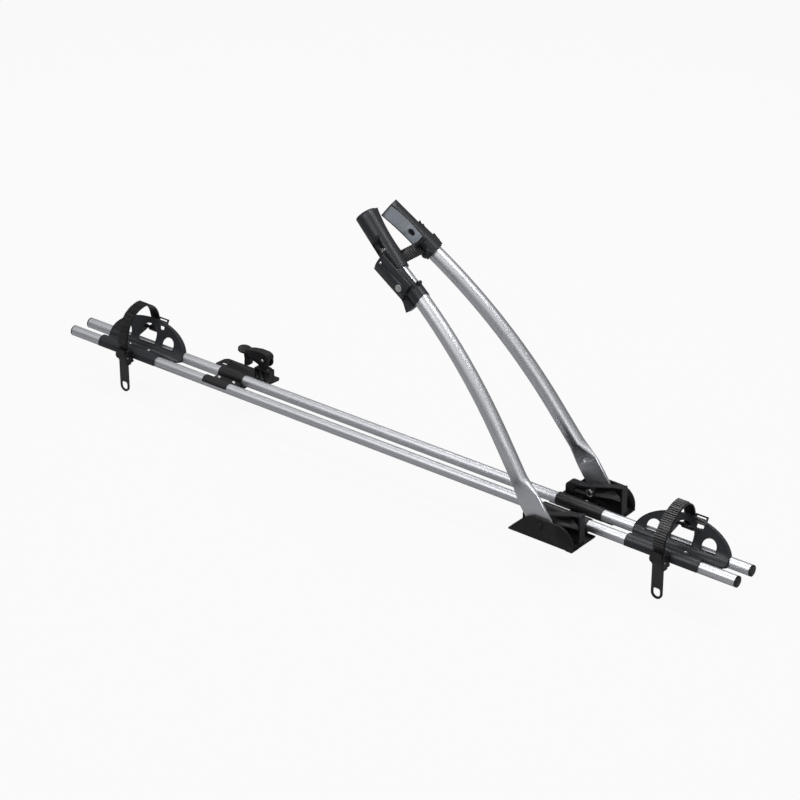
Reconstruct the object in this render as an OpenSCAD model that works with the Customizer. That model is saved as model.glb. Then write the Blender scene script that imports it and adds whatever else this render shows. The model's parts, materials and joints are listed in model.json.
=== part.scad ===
// Roof mounted bike carrier: two rail tubes on brackets, a folding frame holder
// with a toothed belt between its jaws, and two wheel holders with ladder straps.
// X runs along the rails and X = 0 is the pivot of the frame holder. Y = 0 is the
// mid plane between the rails. Z = 0 is the plane on which the roof bars carry it.

/* [Rails] */
// Outside diameter of the two rail tubes
rail_d = 20; // [19:0.25:21]
// Wall of the rail tubes
rail_wall = 1.6; // [1.2:0.1:2.4]
// Distance between the centres of the rail tubes
rail_pitch = 44; // [42:0.5:47]
// Length of the rail tubes
rail_len = 1490; // [1480:5:1600]
// Distance from the pivot back to the middle of the rails
rail_back = 403.5; // [398:0.5:408]
// Height of the tube centres above the roof bars
rail_z = 16; // [15.5:0.5:18]

/* [Front bracket] */
// Distance from the pivot back to the rear end of the bracket plates
plate_back = 63.5; // [62:0.5:66]
// Length of the steel bracket plates
plate_len = 131; // [130:1:136]
// Thickness of the bracket steel
steel_t = 3; // [2.5:0.25:3.5]
// Inner face of the cheeks from the mid plane
cheek_y = 89; // [88.5:0.25:92]
// Top of the cheeks
cheek_h = 41; // [40:0.5:46]
// Inner edge of the bracket plates from the mid plane
plate_in_y = 25; // [24:0.5:28]
// Distance between the bolt slots along the rails
slot_pitch_x = 60; // [56:1:64]
// Distance between the bolt slots across the rails
slot_pitch_y = 87; // [86:0.5:90]
// Length of the bolt slots
slot_len = 20; // [16:1:24]
// Width of the bolt slots
slot_w = 8.5; // [6.5:0.5:9]
// Length of the plastic sleeve on each rail tube
sleeve_len = 94; // [86:1:100]
// Wall of the plastic sleeves
sleeve_wall = 2; // [1.6:0.2:2.6]
// Inner face of the ribbed foot from the mid plane
foot_in_y = 54; // [53:0.5:56]
// Width of the ribbed foot
foot_w = 15; // [14:0.5:18]
// Top of the ribbed foot at its front end
foot_h = 57; // [55:0.5:60]

/* [Frame holder] */
// Height of the pivot above the roof bars
pivot_z = 27; // [27:0.5:29]
// Diameter of the pivot bolts
pivot_d = 8; // [7:0.5:9]
// Slope of the arms above the rails at the foot
arm_slope = 53.7; // [52:0.1:55]
// Diameter of the arm tubes
arm_d = 28; // [27:0.25:29]
// Wall of the arm tubes
arm_wall = 2; // [1.5:0.25:2.5]
// Thickness of the flattened foot of an arm
arm_flat_t = 5; // [4:0.25:6]
// Width of the flattened foot of an arm
arm_flat_w = 45; // [42:0.5:46]
// Straight length of an arm from the pivot
arm_straight = 157; // [150:1:165]
// Radius of the long bend in an arm
arm_bend_r = 970; // [940:5:1000]
// Length of an arm along its centre line
arm_len = 495; // [480:1:510]
// Inward lean of each arm
arm_lean = 5; // [4.6:0.1:5.2]

/* [Jaws] */
// Length of the far jaw
far_jaw_len = 110; // [104:1:114]
// Length of the near jaw
near_jaw_len = 115; // [108:1:118]
// Radius of a jaw at its lower end
jaw_r0 = 17.4; // [17:0.1:18]
// Radius of a jaw at its tip
jaw_r1 = 19; // [18:0.1:20]
// Turn of the jaws against the arms
jaw_turn = 5.7; // [5:0.1:6.5]
// Thickness of the jaw pads
pad_t = 4; // [3:0.25:5]
// Radius of the hollow of the jaw pads
pad_r = 236; // [220:1:260]
// Width of the toothed belt
belt_w = 23; // [20:0.5:24]
// Thickness of the toothed belt
belt_t = 3; // [2.4:0.2:3.6]
// Pitch of the belt teeth
belt_pitch = 5.5; // [5:0.25:6]

/* [Ratchet] */
// Diameter of the lock cylinder
lock_d = 13; // [11:0.5:14]
// Diameter of the lever pin
lever_pin_d = 5; // [4:0.5:6]
// Wall of the ratchet collar
collar_wall = 1.4; // [1.2:0.1:2.4]

/* [Rear mount] */
// Distance from the pivot back to the middle of the rear mount
rear_back = 782; // [776:0.5:788]
// Length of the rear sleeves
rear_sleeve_len = 58; // [54:1:62]
// Height of the cam pin
cam_z = 46; // [45:0.5:48]
// Diameter of the cam pin
cam_pin_d = 6; // [5:0.5:7]
// Radius of the cam
cam_r = 14; // [13:0.25:15]

/* [Wheel holders] */
// Distance from the pivot forward to the front wheel holder
front_wheel_x = 204.5; // [200:0.5:206]
// Distance from the pivot back to the rear wheel holder
rear_wheel_back = 1000.5; // [997:0.5:1004]
// Half length of the wing of a wheel holder
wing_half = 94; // [90:1:96]
// Height of the wing along its slope
wing_h = 59; // [57:0.5:62]
// Lean of the wing away from the wheel
wing_lean = 25; // [23:0.5:27]
// Wall of the moulded wheel holder
tray_wall = 3; // [2.5:0.25:3.5]
// Half length of the cover over the near tube
cover_half = 71; // [68:1:74]
// Width of the ladder straps
strap_w = 22; // [20:0.5:23]
// Thickness of the ladder straps
strap_t = 2.4; // [2:0.1:2.6]
// Height of the strap ribs
rib_h = 1.2; // [0.8:0.1:1.4]
// Length of the strap tail that hangs below the rail centres
tail_len = 74; // [66:1:84]

/* [Hidden] */
$fn = 64;

// Clearances
fit = 0.05;
gap = 0.3;
swing_gap = 2;
eps = 1;

// Rails
rail_r = rail_d / 2;
rail_y = rail_pitch / 2;

// Front bracket
plate_front = plate_len - plate_back;
cheek_out = cheek_y + steel_t;
cheek_corner = 30;
sleeve_x = 4.75;
sleeve_r = rail_r + sleeve_wall;
cross_half = 13.5;
cross_top = rail_z - rail_r - gap;
cross_reach = 58;
bridge_half = 17.5;
bridge_top = 13;
foot_out_y = foot_in_y + foot_w;
foot_rib = 3;
foot_web = 8;
foot_back = -51;
foot_front = 65.5;
foot_boss = [-41, 24];
foot_boss_r = 10;
flange_x = 34;
flange_t = 2;
flange_screw = [56, cheek_y - 11];
boss_r = 11;
hook_x = [46, 67];
hook_y = [70, 85];
hook_drop = 6;

// Frame holder
arm_r = arm_d / 2;
arm_y = cheek_y - swing_gap - arm_flat_t / 2;
arm_tilt = arm_slope - 180;
bush_r = pivot_d / 2 + 2.5;
boss_face = arm_y - arm_flat_t / 2 - swing_gap;
flat_end = 48;
tube_start = 84;
arm_dimple = 52;
lean_at = 60;
bend_angle = (arm_len - arm_straight) / arm_bend_r * 180 / PI;

// Jaws
jaw_cap = 4;
jaw_at = arm_len - jaw_cap;
jaw_bend = (jaw_at - arm_straight) / arm_bend_r * 180 / PI;
jaw_alpha = jaw_bend - jaw_turn;
near_lean = 4;
far_lean = 7;
jaw_pocket_x = 31;
jaw_rim = 1.5;
jaw_side = 16.5;
jaw_proud = 0.6;
jaw_hollow = [40, -11.5 - pad_r];
jaw_screw_x = 51;
jaw_screw_r = 3;
jaw_head_r = 5;
pad_hole_r = 7.2;
jaw_head_y = jaw_hollow[1] + pad_r + pad_t + 0.6;
jaw_recess = [41, 63];
clip_top = jaw_r0 + 2.6;
neck_len = 46;
neck_flat = 12;
belt_u = 19;
belt_near = -57;
belt_far = 75;
tube_bend_x = arm_straight + arm_bend_r * sin(jaw_bend);
belt_x = lean_at + (tube_bend_x - lean_at) * cos(arm_lean) + belt_u * cos(jaw_alpha) * cos(arm_lean);
belt_z = arm_bend_r * (1 - cos(jaw_bend)) + belt_u * sin(jaw_alpha);

// Ratchet
ratchet_below = 12;
ratchet_at = jaw_at - ratchet_below;
ratchet_bend = (ratchet_at - arm_straight) / arm_bend_r * 180 / PI;
lever_in_r = arm_r + 4.4;
lever_face = arm_r + 0.6;
lever_x = [-28, 47];
lever_under = 34;
lever_flare = 4.5;
horn_z = lever_in_r + 0.2;
pin_x = 40;
pin_z = 6;
pawl_at = [43, 4];
pawl_pin_r = 2;
lock_x = -14;
lock_z = 8.5;
collar_x = [-54, -30];

// Rear mount
rear_sleeve_r = rail_r + 1.6;
rear_edge = -2;
rear_screw_y = 2.5;
cam_x = 40;
cam_y = [58, 74];
cam_off = 2;
cam_bore = 9;
cam_mid = (cam_y[0] + cam_y[1]) / 2;
tower_x = [20, 55];
cam_eye = [62, 70];

// Wheel holders
cover_r = rail_r + gap + tray_wall;
cover_off = -3;
wing_off = 6;
wing_foot = [10, rail_z - 2];
wing_side = 3;
wing_rim = 10;
anchor = [44, rail_z + 24];
anchor_r = 3;
strap_y = -43;
buckle_x = [-13, 16];
buckle_z = [rail_z - 14, rail_z + 16];
buckle_pin_r = 1.5;
lever_at = [strap_y - 5.4, rail_z + 1];
clamp_t = 4;
clamp_half_y = 15;
tray_bolt = 24;
tray_seat = rail_z + 0.5;
ring_r = anchor_r + 0.1 + strap_t / 2;
strap_end = [[strap_y + 1, 34], [strap_y, 20], [strap_y, 4], [strap_y, -16], [strap_y, 20 - tail_len]];
rear_loop = [[anchor[0] + ring_r, anchor[1] - rail_z], [48, 36], [46.5, 50], [42, 65], [32, 78], [16, 86.5],
    [-3, 84.5], [-20, 76], [-31, 63], [-38, 47]];
front_loop = [[anchor[0] + ring_r, anchor[1] - rail_z], [47.6, 36], [46, 49], [42.6, 61], [36, 71], [24, 78.5],
    [8, 77.5], [-8, 71], [-22, 61.5], [-33, 49]];

// Colours
alu = [0.72, 0.73, 0.75];
steel = [0.12, 0.12, 0.13];
plastic = [0.2, 0.21, 0.24];
dark = [0.1, 0.1, 0.11];
pad_grey = [0.62, 0.65, 0.68];
zinc = [0.7, 0.7, 0.7];

// The far side lies at +Y, and the near side is its mirror image
module on_side(side) {
    if (side > 0) children();
    else mirror([0, 1, 0]) children();
}

// A plate in the X-Z plane whose outer face lies at y
module upright(y, t) translate([0, y, 0]) rotate([90, 0, 0]) linear_extrude(t) children();

// A bar along X
module bar_x(r, x0, x1) translate([x0, 0, 0]) rotate([0, 90, 0]) cylinder(r = r, h = x1 - x0);

// A bar along Y
module bar_y(r, y0, y1) translate([0, y0, 0]) rotate([-90, 0, 0]) cylinder(r = r, h = y1 - y0);

// A box given by its low and high corners
module block(low, high) translate(low) cube(high - low);

// A slot through a plate, long way along X
module slot_x(len, w, z0, z1) {
    run = (len - w) / 2;
    for (s = [-1, 1]) translate([s * run, 0, z0]) cylinder(d = w, h = z1 - z0);
    block([-run, -w / 2, z0], [run, w / 2, z1]);
}

// Rails

module rail(side) color(alu) on_side(side) translate([-rail_back, rail_y, rail_z]) difference() {
    bar_x(rail_r, -rail_len / 2, rail_len / 2);
    bar_x(rail_r - rail_wall, -rail_len / 2 - eps, rail_len / 2 + eps);
}

module rail_end_plugs() color(dark)
    for (side = [-1, 1], end = [-1, 1])
        translate([-rail_back + end * rail_len / 2, side * rail_y, rail_z]) mirror([end < 0 ? 1 : 0, 0, 0]) {
            bar_x(rail_r, 0, 2.5);
            bar_x(rail_r - rail_wall - fit, -16, 0);
        }

// Front bracket

module cheek_outline() {
    corner = [plate_front - cheek_corner, cheek_h - cheek_corner];
    polygon([[-plate_back, 0], [plate_front, 0], [plate_front, corner[1]], corner, [corner[0], cheek_h],
        [-16, cheek_h], [-31, cheek_h - 8], [4 - plate_back, steel_t + 2], [-plate_back, steel_t]]);
    intersection() {
        translate(corner) circle(r = cheek_corner);
        translate(corner) square(cheek_corner);
    }
}

module front_slots(z0, z1) for (s = [-1, 1])
    translate([s * slot_pitch_x / 2, slot_pitch_y / 2, 0]) slot_x(slot_len, slot_w, z0, z1);

module front_bracket(side) color(steel) on_side(side) difference() {
    union() {
        block([-plate_back, plate_in_y, 0], [plate_front, cheek_out, steel_t]);
        upright(cheek_out, steel_t) cheek_outline();
    }
    front_slots(-eps, steel_t + eps);
    translate([0, 0, pivot_z]) bar_y(pivot_d / 2 + fit, cheek_y - eps, cheek_out + eps);
    saddle_screw_places() translate([0, 0, -eps]) cylinder(r = 2.1, h = steel_t + 2 * eps);
}

module front_cross_plate() color(steel) difference() {
    block([-cross_half, -cross_reach, steel_t], [cross_half, cross_reach, cross_top]);
    for (s = [-1, 1]) translate([0, s * slot_pitch_y / 2, 0]) cylinder(r = 2.1, h = 3 * steel_t);
}

module saddle_screw_places() {
    translate([0, slot_pitch_y / 2, 0]) children();
    translate([flange_screw[0], flange_screw[1], 0]) children();
}

// Outline of the ribbed foot: a rounded rear boss, rising to a tall front end
module foot_outline() {
    polygon([[foot_back, steel_t], [foot_front, steel_t], [foot_front, foot_h], [46, foot_h - 4],
        [24, foot_h - 11], [2, foot_h - 18], [-20, foot_h - 23], [foot_boss[0], foot_boss[1] + foot_boss_r],
        [foot_boss[0] - foot_boss_r, foot_boss[1]]]);
    translate(foot_boss) circle(r = foot_boss_r);
}

// The two hollows in each side of the foot, between its ribs
module foot_panels() {
    end = foot_front - foot_rib;
    top = foot_h - foot_rib - 1;
    mid = foot_h / 2;
    polygon([[end, top], [46, top - 4], [24, top - 11], [2, top - 18], [-20, top - 23], [-32, mid - 2],
        [-32, mid - 9], [14, mid - 3], [44, mid + 3], [end, mid + 4]]);
    polygon([[end, mid + 1], [44, mid], [14, mid - 6], [-34, mid - 13], [-44, mid - 16],
        [-44, steel_t + foot_rib], [end, steel_t + foot_rib]]);
}

module front_saddle(side) color(dark) on_side(side) difference() {
    union() {
        translate([sleeve_x, rail_y, rail_z]) bar_x(sleeve_r, -sleeve_len / 2, sleeve_len / 2);
        block([sleeve_x - sleeve_len / 2, plate_in_y, steel_t], [sleeve_x + sleeve_len / 2, rail_y + 11, rail_z]);
        block([-bridge_half, rail_y + 8, steel_t], [bridge_half, foot_in_y + eps, bridge_top]);
        difference() {
            upright(foot_out_y, foot_w) foot_outline();
            upright(foot_in_y + (foot_w - foot_web) / 2, foot_w) foot_panels();
            upright(foot_out_y + (foot_w + foot_web) / 2, foot_w) foot_panels();
        }
        block([flange_x, foot_out_y - eps, steel_t], [foot_front - 1, cheek_y - 3, steel_t + flange_t]);
        translate([0, 0, pivot_z]) bar_y(boss_r, foot_in_y + (foot_w - foot_web) / 2, boss_face);
    }
    translate([0, rail_y, rail_z]) bar_x(rail_r + fit, -plate_back - eps, plate_front + eps);
    block([-cross_half - fit, 0, 0], [cross_half + fit, cross_reach + fit, cross_top]);
    translate([0, 0, pivot_z]) bar_y(pivot_d / 2 + fit, foot_in_y - eps, boss_face + eps);
    translate([0, 0, pivot_z]) bar_y(8, foot_in_y - eps, foot_in_y + (foot_w - foot_web) / 2);
    saddle_screw_places() cylinder(r = 2.1, h = bridge_top + eps);
}

module saddle_screws() color(zinc) for (side = [-1, 1]) on_side(side) {
    translate([0, slot_pitch_y / 2, 0]) screw(bridge_top);
    translate([flange_screw[0], flange_screw[1], 0]) screw(steel_t + flange_t);
}

// A pan head screw of 4 mm whose head seats at height z and whose end is at 0.2
module screw(z) difference() {
    union() {
        translate([0, 0, z]) cylinder(r1 = 4, r2 = 3.2, h = 2.4);
        translate([0, 0, 0.2]) cylinder(r = 2, h = z);
    }
    translate([0, 0, z + 1]) cylinder(r = 1.6, h = 3, $fn = 6);
}

module bar_hooks() color(dark) for (side = [-1, 1]) on_side(side)
    upright(hook_y[1], hook_y[1] - hook_y[0]) {
        polygon([[hook_x[0], 0], [hook_x[0] + 2, -hook_drop + 2], [hook_x[0] + 4, -hook_drop],
            [hook_x[1] - 5, -hook_drop], [hook_x[1] - 2, -hook_drop + 3], [hook_x[1], 0]]);
    }

module pivot_bolts() color(steel) for (side = [-1, 1]) on_side(side) translate([0, 0, pivot_z]) {
    bar_y(pivot_d / 2, foot_in_y - 3, cheek_out + 0.5);
    translate([0, cheek_out, 0]) rotate([-90, 0, 0]) cylinder(r1 = 7, r2 = 5.5, h = 2.6);
}

module pivot_nuts() color(zinc) for (side = [-1, 1]) on_side(side) translate([0, 0, pivot_z]) difference() {
    web_face = foot_in_y + (foot_w - foot_web) / 2;
    translate([0, web_face - 6.5, 0]) rotate([-90, 30, 0]) cylinder(r = 7.5, h = 6.5, $fn = 6);
    bar_y(pivot_d / 2 + fit, web_face - 8, web_face + eps);
}

// Frame holder

// Origin at the pivot, +X up along the arm, +Y outward, +Z to the underside
module arm_frame(side) on_side(side) translate([0, arm_y, pivot_z]) rotate([0, arm_tilt, 0]) children();

// The part of the arm that leans inward
module leaning() translate([lean_at, 0, 0]) rotate([0, 0, -arm_lean]) translate([-lean_at, 0, 0]) children();

// A frame on the bend whose X axis is turned by a from the foot
module on_bend(a, turn) translate([arm_straight + arm_bend_r * sin(a), 0, arm_bend_r * (1 - cos(a))])
    rotate([0, -turn, 0]) children();

module bent_tube(r, from, angle) {
    bar_x(r, from, arm_straight);
    translate([arm_straight, 0, arm_bend_r]) rotate([90, 90, 0])
        rotate_extrude(angle = angle, $fn = 128) translate([arm_bend_r, 0]) circle(r = r);
}

// Tube with a flattened foot, and a dimpled hole inside where it widens
module arm(side, bore) color(alu) arm_frame(side) difference() {
    union() {
        upright(arm_flat_t / 2, arm_flat_t) {
            circle(r = arm_flat_w / 2);
            translate([0, -arm_flat_w / 2]) square([flat_end, arm_flat_w]);
        }
        hull() {
            block([flat_end - 2, -arm_flat_t / 2 + fit, -arm_flat_w / 2 + fit],
                [flat_end - 1, arm_flat_t / 2 - fit, arm_flat_w / 2 - fit]);
            leaning() bar_x(arm_r - fit, tube_start + 0.3, tube_start + 1, $fn = 32);
        }
        leaning() difference() {
            bent_tube(arm_r, tube_start, bend_angle);
            bent_tube(arm_r - arm_wall, tube_start + 4, bend_angle + 0.1);
        }
    }
    bar_y(bore, -arm_flat_t, arm_flat_t);
    translate([arm_dimple, -6.5, 0]) rotate([-90, 0, 0]) cylinder(r1 = 8, r2 = 2.6, h = 5);
    translate([arm_dimple, 0, 0]) bar_y(2.6, -6, 0);
}

module pivot_bush(side) color(zinc) on_side(side) translate([0, 0, pivot_z]) difference() {
    bar_y(bush_r, boss_face + fit, cheek_y - fit);
    bar_y(pivot_d / 2 + fit, boss_face - eps, cheek_y + eps);
}

// Jaws

// Origin on the arm's centre line at the lower rim of the jaw, +X to the tip
module jaw_frame(side) arm_frame(side) leaning() on_bend(jaw_bend, jaw_alpha) children();

// The middle of the belt, which runs straight across between the two jaws
module belt_frame() translate([0, 0, pivot_z]) rotate([0, arm_tilt, 0])
    translate([belt_x, 0, belt_z]) rotate([0, -jaw_alpha, 0]) children();

// Outer shape of a jaw: a cone outside, straight walls towards the bike frame
module jaw_cone(inset, lean, len) rotate([0, 0, -lean]) {
    rotate([0, 90, 0]) cylinder(r1 = jaw_r0 - inset, r2 = jaw_r1 - inset, h = len - inset);
    block([jaw_pocket_x - 3 + inset, -24, -jaw_side + inset], [len - inset, 0, jaw_side - inset]);
}

module hollow_cut(r, x0) intersection() {
    translate([jaw_hollow[0], jaw_hollow[1], -30]) cylinder(r = r, h = 60, $fn = 128);
    block([x0, -60, -30], [near_jaw_len + 9, 10, 30]);
}

// Way for the belt across both jaws, wider below, where a spread jaw needs it
module belt_slot() belt_frame()
    block([-belt_w / 2 - 3, -80, -belt_t / 2 - 0.7], [belt_w / 2 + 0.8, 80, belt_t / 2 + 0.7]);

// A pad face that is hollow along the jaw, and a recess with a screw outside
module jaw_body(lean, len) difference() {
    jaw_cone(0, lean, len);
    hollow_cut(pad_r - jaw_proud, jaw_pocket_x - 4);
    intersection() {
        jaw_cone(jaw_rim, lean, len);
        hollow_cut(pad_r + pad_t, jaw_pocket_x + 1);
    }
    translate([jaw_screw_x, 0, 0]) {
        bar_y(jaw_screw_r + fit, -30, 30);
        bar_y(jaw_head_r + fit, -30, jaw_head_y);
        bar_y(jaw_head_r + fit, 3, 30);
    }
    block([jaw_recess[0], 5, -11], [jaw_recess[1], 30, 11]);
}

// The far jaw has a rounded lug below the belt
module far_jaw() color(plastic) {
    difference() {
        jaw_frame(1) difference() {
            union() {
                jaw_body(far_lean, far_jaw_len);
                translate([7, -14, -10]) cylinder(r = 6, h = 20);
                block([1, -14, -10], [13, -8, 10]);
            }
        }
        jaw_socket(1);
        belt_slot();
    }
    jaw_spigot(1);
}

// The socket of a jaw takes the end of the arm tube along its bend
module jaw_socket(side) arm_frame(side) leaning() on_bend(jaw_bend, jaw_bend)
    along_arm(arm_r + fit, -8, jaw_cap + fit);

// The spigot of a jaw fills the end of the arm tube
module jaw_spigot(side) arm_frame(side) leaning() translate([arm_straight, 0, arm_bend_r]) rotate([90, 90, 0])
    rotate([0, 0, bend_angle - 2.2]) rotate_extrude(angle = 2.25, $fn = 128)
        translate([arm_bend_r, 0]) circle(r = arm_r - arm_wall - fit);

// The near jaw is flat outside, under the lever, and holds the pawl in a slot
module near_jaw() color(plastic) {
    difference() {
        jaw_frame(-1) difference() {
            jaw_body(near_lean, near_jaw_len);
            block([-eps, neck_flat, -30], [neck_len, 40, 30]);
            block([belt_u, -6, -3.5], [pawl_at[0] + 6, neck_flat + eps, 3.5]);
            translate([pawl_at[0], pawl_at[1], -12]) cylinder(r = pawl_pin_r + fit, h = 40);
        }
        jaw_socket(-1);
        belt_slot();
        ratchet_frame() translate([pin_x, 0, pin_z]) bar_y(lever_pin_d / 2 + fit, 1, 30);
    }
    jaw_spigot(-1);
}

module jaw_pad(side, lean, len) color(pad_grey) jaw_frame(side) difference() {
    intersection() {
        jaw_cone(jaw_rim + 0.1, lean, len);
        difference() {
            hollow_cut(pad_r + pad_t - fit, jaw_pocket_x + 1.1);
            hollow_cut(pad_r, 0);
        }
    }
    translate([jaw_screw_x, 0, 0]) bar_y(pad_hole_r, -30, 30);
}

module jaw_screw(side) color(steel) jaw_frame(side) translate([jaw_screw_x, 0, 0]) difference() {
    union() {
        bar_y(jaw_screw_r, jaw_head_y - 1, 4);
        bar_y(jaw_head_r, jaw_head_y - 3, jaw_head_y);
    }
    translate([0, jaw_head_y - 4, 0]) rotate([-90, 0, 0]) cylinder(r = 2, h = 3, $fn = 6);
}

module jaw_belt() color(dark) belt_frame() difference() {
    block([-belt_w / 2, belt_near, -belt_t / 2], [belt_w / 2, belt_far, belt_t / 2]);
    for (y = [belt_near + belt_pitch : belt_pitch : belt_far - 2], s = [-1, 1])
        translate([s * (belt_w / 2 + 0.5), y, -belt_t]) cylinder(r = 1.7, h = 2 * belt_t, $fn = 24);
}

// Toothed grip over the outside of the far jaw, where the belt comes out
module belt_clip() color(dark) difference() {
    jaw_frame(1) difference() {
        rotate([0, 0, -far_lean]) {
            block([6, 8, -9], [58, clip_top, 9]);
            for (x = [9, 14, 19, 46, 54]) translate([x, 0, -9]) linear_extrude(18)
                polygon([[-2.5, clip_top], [2.5, clip_top], [2.8, clip_top + 2.4], [1.2, clip_top + 2.4]]);
        }
        jaw_cone(0, far_lean, far_jaw_len);
        block([jaw_recess[0], 0, -12], [jaw_recess[1], 13, 12]);
    }
    belt_slot();
}

// Ratchet on the near arm

module ratchet_frame() arm_frame(-1) leaning() on_bend(ratchet_bend, ratchet_bend) children();

// Collar with a slanted lower end, a shell under the lever and a curled hook
module ratchet_housing() color(plastic) ratchet_frame() difference() {
    union() {
        difference() {
            along_arm(arm_r + collar_wall, collar_x[0], collar_x[1]);
            translate([collar_x[0], 0, 0]) rotate([0, -14, 0]) block([-20, -30, -30], [0, 30, 30]);
        }
        intersection() {
            bar_x(lever_in_r - 0.6, collar_x[1] - eps, 10);
            block([collar_x[1] - eps, -3, -arm_r + 0.5], [10, lever_face - 0.4, 20]);
        }
        translate([collar_x[1] + 1, 0, -arm_r - 3]) bar_y(3.4, -4, 4);
    }
    along_arm(arm_r + fit, collar_x[0] - 12, 12);
    translate([collar_x[1] + 1.8, 0, -arm_r - 3.4]) bar_y(1.8, -5, 5);
}

// A bar that follows the arm tube's own bend
module along_arm(r, x0, x1) translate([0, 0, arm_bend_r]) rotate([90, 90, 0]) {
    a0 = x0 / arm_bend_r * 180 / PI;
    a1 = x1 / arm_bend_r * 180 / PI;
    rotate([0, 0, a0]) rotate_extrude(angle = a1 - a0, $fn = 128) translate([arm_bend_r, 0]) circle(r = r);
}

// Ridged cover with a horn for the finger at its lower end
module ratchet_lever() color(plastic) ratchet_frame() {
    out = lever_face;
    difference() {
        union() {
            lever_run(lever_x[1]) polygon([[out, -13], [out + 2, -12], [out + 5.2, -4], [out + 6.2, 3],
                [out + 5.4, 12], [out + 1.6, 23], [out, 25]]);
            difference() {
                lever_run(lever_under) polygon([[out, 14], [out + 1, 20], [out + 0.4, 24], [9, 27], [3, 26],
                    [0, 22], [1, 17]]);
                bar_x(lever_in_r, lever_x[0] - 3, lever_x[1] + eps);
            }
            upright(7, 14) polygon([[0, horn_z + 8], [-12, horn_z + 8.4], [-22, 31], [-32, 34], [-40, 38.5],
                [-46.5, 42], [-48, 36], [-49.5, 27], [-51, horn_z + 1], [-50, horn_z], [0, horn_z]]);
            translate([lock_x, 0, lock_z]) bar_y(lock_d / 2 + 2, out, out + 6.4);
        }
        translate([lock_x, 0, lock_z]) bar_y(lock_d / 2 + 0.1, 5, 30);
        translate([pin_x, 0, pin_z]) bar_y(lever_pin_d / 2 + fit, 5, 30);
    }
}

module lever_run(end) translate([lever_x[0], 0, 0]) rotate([0, -lever_flare, 0]) rotate([90, 0, 90])
    linear_extrude(end - lever_x[0]) children();

module lever_pin() color(zinc) ratchet_frame() translate([pin_x, 0, pin_z])
    bar_y(lever_pin_d / 2, 2, lever_face + 6.6);

module lock_cylinder() color(zinc) ratchet_frame() translate([lock_x, 0, lock_z]) difference() {
    bar_y(lock_d / 2, lever_face + 0.4, lever_face + 7.2);
    block([-0.7, lever_face + 5.6, -3.4], [0.7, lever_face + 9, 3.4]);
}

// Pawl whose nose rests on the edge of the belt
module ratchet_pawl() color(steel) jaw_frame(-1) translate([pawl_at[0], pawl_at[1], 0]) difference() {
    union() {
        translate([0, 0, -3]) cylinder(r = 4.5, h = 6);
        block([belt_u + belt_w / 2 + gap - pawl_at[0], -2, -3], [0, 2, 3]);
    }
    translate([0, 0, -5]) cylinder(r = pawl_pin_r + fit, h = 10);
}

module pawl_pin() color(zinc) jaw_frame(-1) translate([pawl_at[0], pawl_at[1], -12])
    cylinder(r = pawl_pin_r, h = 28);

// Rear mount

module at_rear() translate([-rear_back, 0, 0]) children();

module rear_plate() color(steel) at_rear() difference() {
    linear_extrude(steel_t) polygon([[-rear_sleeve_len / 2, rear_edge], [rear_sleeve_len / 2, rear_edge],
        [rear_sleeve_len / 2, 42], [54, 57], [57, 84], [53, 90], [-74, 91], [-80, 84], [-81, 62], [-56, 46],
        [-rear_sleeve_len / 2, 36]]);
    translate([-67, 72, 0]) slot_x(15, 7, -eps, steel_t + eps);
    translate([-63, 84, -eps]) cylinder(r = 2.2, h = steel_t + 2 * eps);
    translate([cam_x, cam_mid, -eps]) cylinder(r = cam_bore / 2, h = steel_t + 2 * eps);
    rear_screw_places() translate([0, 0, -eps]) cylinder(r = 2.1, h = steel_t + 2 * eps);
}

module rear_screw_places() for (s = [-1, 1]) translate([s * 18, rear_screw_y, 0]) children();

// Full sleeve on the far tube, half sleeve over the near one, web between them
module rear_saddle() color(dark) at_rear() difference() {
    half = rear_sleeve_len / 2;
    union() {
        for (s = [-1, 1]) translate([0, s * rail_y, rail_z]) bar_x(rear_sleeve_r, -half, half);
        block([-half, -rail_y, rail_z - 6], [half, rail_y, rail_z - 1]);
        block([-half, rail_y - 8, steel_t], [half, rail_y + 8, rail_z]);
        block([-half, rear_edge, steel_t], [half, 7, rail_z - 3]);
    }
    for (s = [-1, 1]) translate([0, s * rail_y, rail_z]) bar_x(rail_r + gap, -half - eps, half + eps);
    block([-half - eps, -rail_y - 20, rail_z - 14], [half + eps, -rail_y, rail_z + 2.5]);
    block([-half - eps, -rail_y - eps, rail_z - 14], [half + eps, -rail_y + 5, rail_z - 1]);
    rear_screw_places() cylinder(r = 2.1, h = 30);
}

module rear_screws() color(zinc) at_rear() rear_screw_places() screw(rail_z - 1);

// Ribbed block on the plate, with the bore of the draw bolt
module cam_tower() color(dark) at_rear() difference() {
    top = cam_z - cam_off - cam_r - gap;
    union() {
        block([tower_x[0], cam_y[0], steel_t], [tower_x[1], cam_y[1], top - 3]);
        block([cam_x - 11, cam_y[0] + 2, steel_t], [cam_x + 11, cam_y[1] - 2, top]);
    }
    translate([cam_x, cam_mid, 0]) cylinder(r = cam_bore / 2, h = cam_z);
    for (x = [tower_x[0] + 3 : 12 : tower_x[1] - 8])
        block([x, cam_y[0] - eps, steel_t + 3], [x + 8, cam_y[0] + 2, top - 6]);
}

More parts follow.
